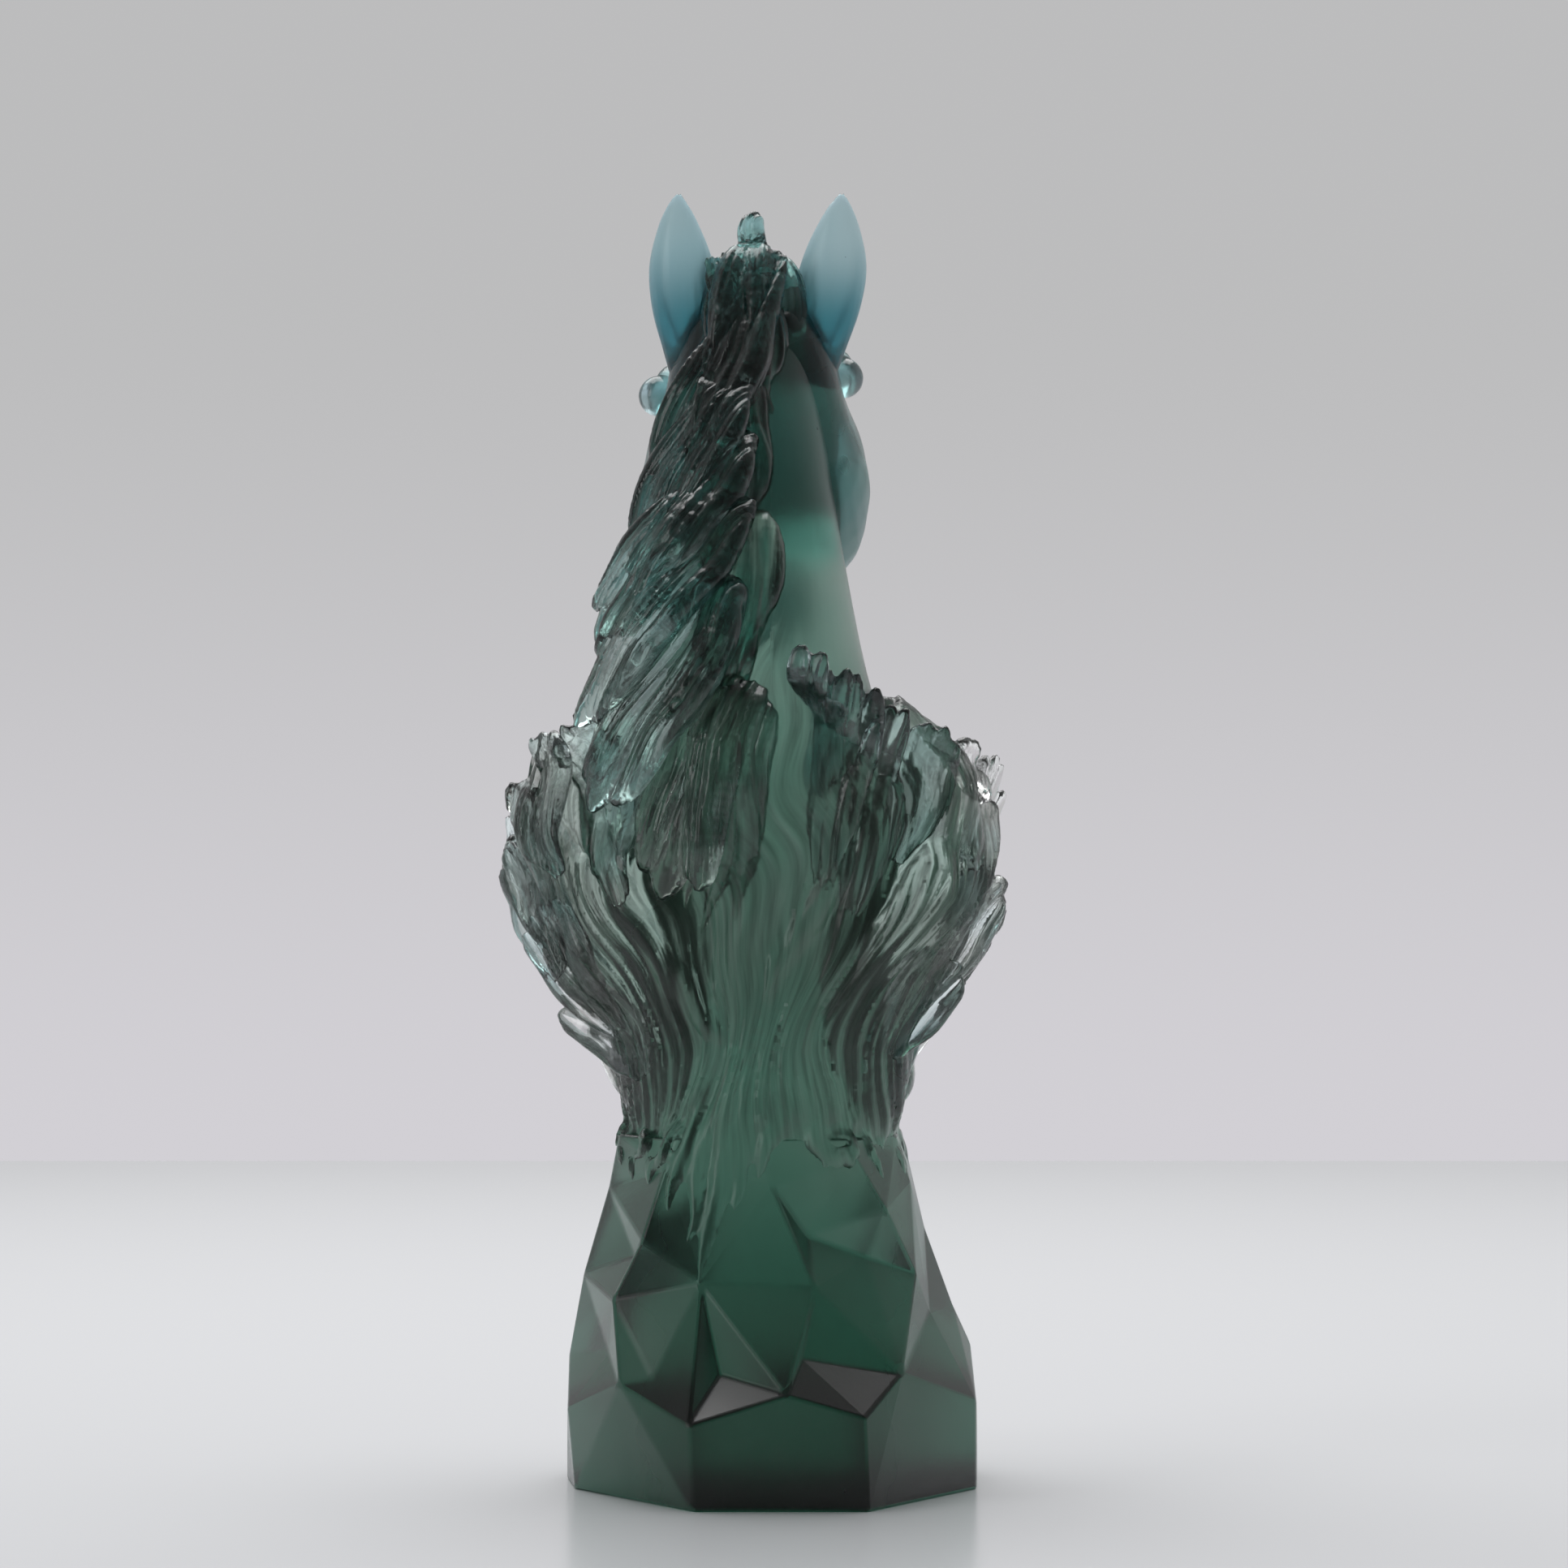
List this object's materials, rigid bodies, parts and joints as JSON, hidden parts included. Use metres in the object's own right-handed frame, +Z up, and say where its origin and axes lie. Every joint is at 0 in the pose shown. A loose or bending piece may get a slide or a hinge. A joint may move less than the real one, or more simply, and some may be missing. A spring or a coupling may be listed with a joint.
{
  "type": "cast glass horse bust figurine",
  "caption": "Translucent green cast-glass bust of a horse with pricked ears, flowing mane and raised wings, standing on a faceted crystal rock base.",
  "frame": {"origin": "centre of the flat underside that the figurine stands on", "axes": "+Z up, -Y the way the horse faces, +X the horse's own left"},
  "size_m": [0.1443, 0.1726, 0.359],
  "materials": {
    "base_glass": "satin, acid-frosted, deep green",
    "body_glass": "satin, acid-frosted, green to grey-green",
    "head_glass": "satin, acid-frosted, teal",
    "mane_glass": "satin, dark teal-green with pale ridges",
    "wing_glass": "satin, smoky grey-green",
    "feather_glass": "satin, smoky grey-green to clear at the tips",
    "ear_glass": "satin, pale blue",
    "eye_glass": "satin, pale blue-grey"
  },
  "bodies": {
    "root": {"faceted_base": "base_glass", "torso": "body_glass", "neck": "body_glass", "head": "head_glass", "left_eye": "eye_glass", "right_eye": "eye_glass", "left_ear": "ear_glass", "right_ear": "ear_glass", "forelock": "mane_glass", "left_wing_root": "wing_glass", "right_wing_root": "wing_glass", "left_wing_feather_1": "feather_glass", "left_wing_feather_2": "feather_glass", "left_wing_feather_3": "feather_glass", "left_wing_feather_4": "feather_glass", "left_wing_feather_5": "feather_glass", "left_wing_feather_6": "feather_glass", "left_wing_feather_7": "feather_glass", "left_wing_feather_8": "feather_glass", "left_wing_feather_9": "feather_glass", "right_wing_feather_1": "feather_glass", "right_wing_feather_2": "feather_glass", "right_wing_feather_3": "feather_glass", "right_wing_feather_4": "feather_glass", "right_wing_feather_5": "feather_glass", "right_wing_feather_6": "feather_glass", "right_wing_feather_7": "feather_glass", "right_wing_feather_8": "feather_glass", "right_wing_feather_9": "feather_glass", "right_wing_feather_10": "feather_glass", "right_wing_feather_11": "feather_glass", "mane_lock_1": "mane_glass", "mane_lock_2": "mane_glass", "mane_lock_3": "mane_glass", "mane_lock_4": "mane_glass", "mane_lock_5": "mane_glass", "mane_lock_6": "mane_glass", "mane_lock_7": "mane_glass", "mane_lock_8": "mane_glass", "mane_lock_9": "mane_glass", "mane_lock_10": "mane_glass"}
  },
  "joints": []
}
